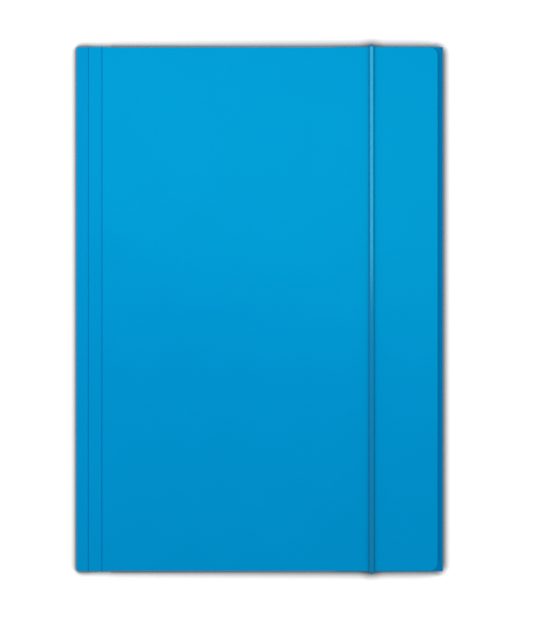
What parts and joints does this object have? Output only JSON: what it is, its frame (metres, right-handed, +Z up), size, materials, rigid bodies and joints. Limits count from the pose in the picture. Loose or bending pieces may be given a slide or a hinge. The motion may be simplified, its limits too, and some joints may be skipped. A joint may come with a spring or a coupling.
{
  "type": "elastic folder",
  "caption": "Flat document folder of one folded sheet of card: scored spine, rounded cover, inner flaps, and an elastic cord round the cover that holds it shut.",
  "frame": {"origin": "centre of the bounding box in plan, on the surface the folder lies on", "axes": "+X from the spine to the fore edge, +Y to the top of the front cover, +Z up out of the front cover; the folder lies on its back, leaning under one degree towards its spine because the elastic runs beneath its back panel"},
  "size_m": [0.224, 0.3242, 0.0097],
  "materials": {
    "card": "satin",
    "elastic": "satin",
    "clip_steel": "satin"
  },
  "bodies": {
    "root": {"folder_card": "card", "elastic_cord": "elastic", "upper_end_clip": "clip_steel", "lower_end_clip": "clip_steel"}
  },
  "joints": []
}
